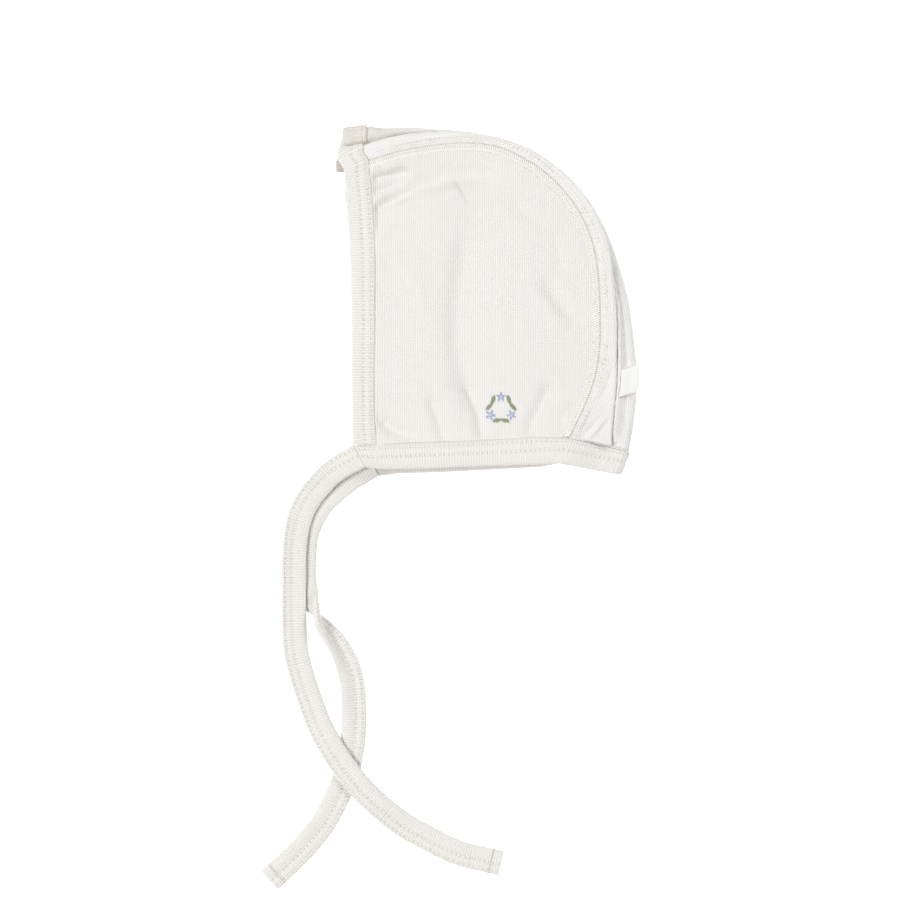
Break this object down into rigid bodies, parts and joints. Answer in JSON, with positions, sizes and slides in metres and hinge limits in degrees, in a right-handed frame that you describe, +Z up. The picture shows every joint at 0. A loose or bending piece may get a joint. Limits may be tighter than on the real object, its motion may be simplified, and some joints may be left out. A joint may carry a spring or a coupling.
{
  "type": "baby's rib knit bonnet",
  "caption": "Soft rib knit baby's bonnet laid flat on its side, with two side panels, a folded-in crown strip, taped face and neck edges and two long ties.",
  "frame": {"origin": "a point on the flat underside of the far side panel, near the middle of the bonnet, on the surface that it lies on", "axes": "+X from the face opening towards the back of the head, +Y from the neck edge towards the crown, +Z up from the surface"},
  "size_m": [0.1748, 0.3522, 0.0164],
  "materials": {
    "rib_knit": "soft ivory fine rib cotton knit",
    "rib_tape": "soft ivory folded rib tape",
    "label_tape": "smooth white woven tape"
  },
  "bodies": {
    "root": {"near_side_panel": "rib_knit", "far_side_panel": "rib_knit", "crown_strip": "rib_knit", "face_band": "rib_tape", "neck_band": "rib_tape", "near_tie": "rib_tape", "far_tie": "rib_tape", "label": "label_tape"}
  },
  "joints": []
}
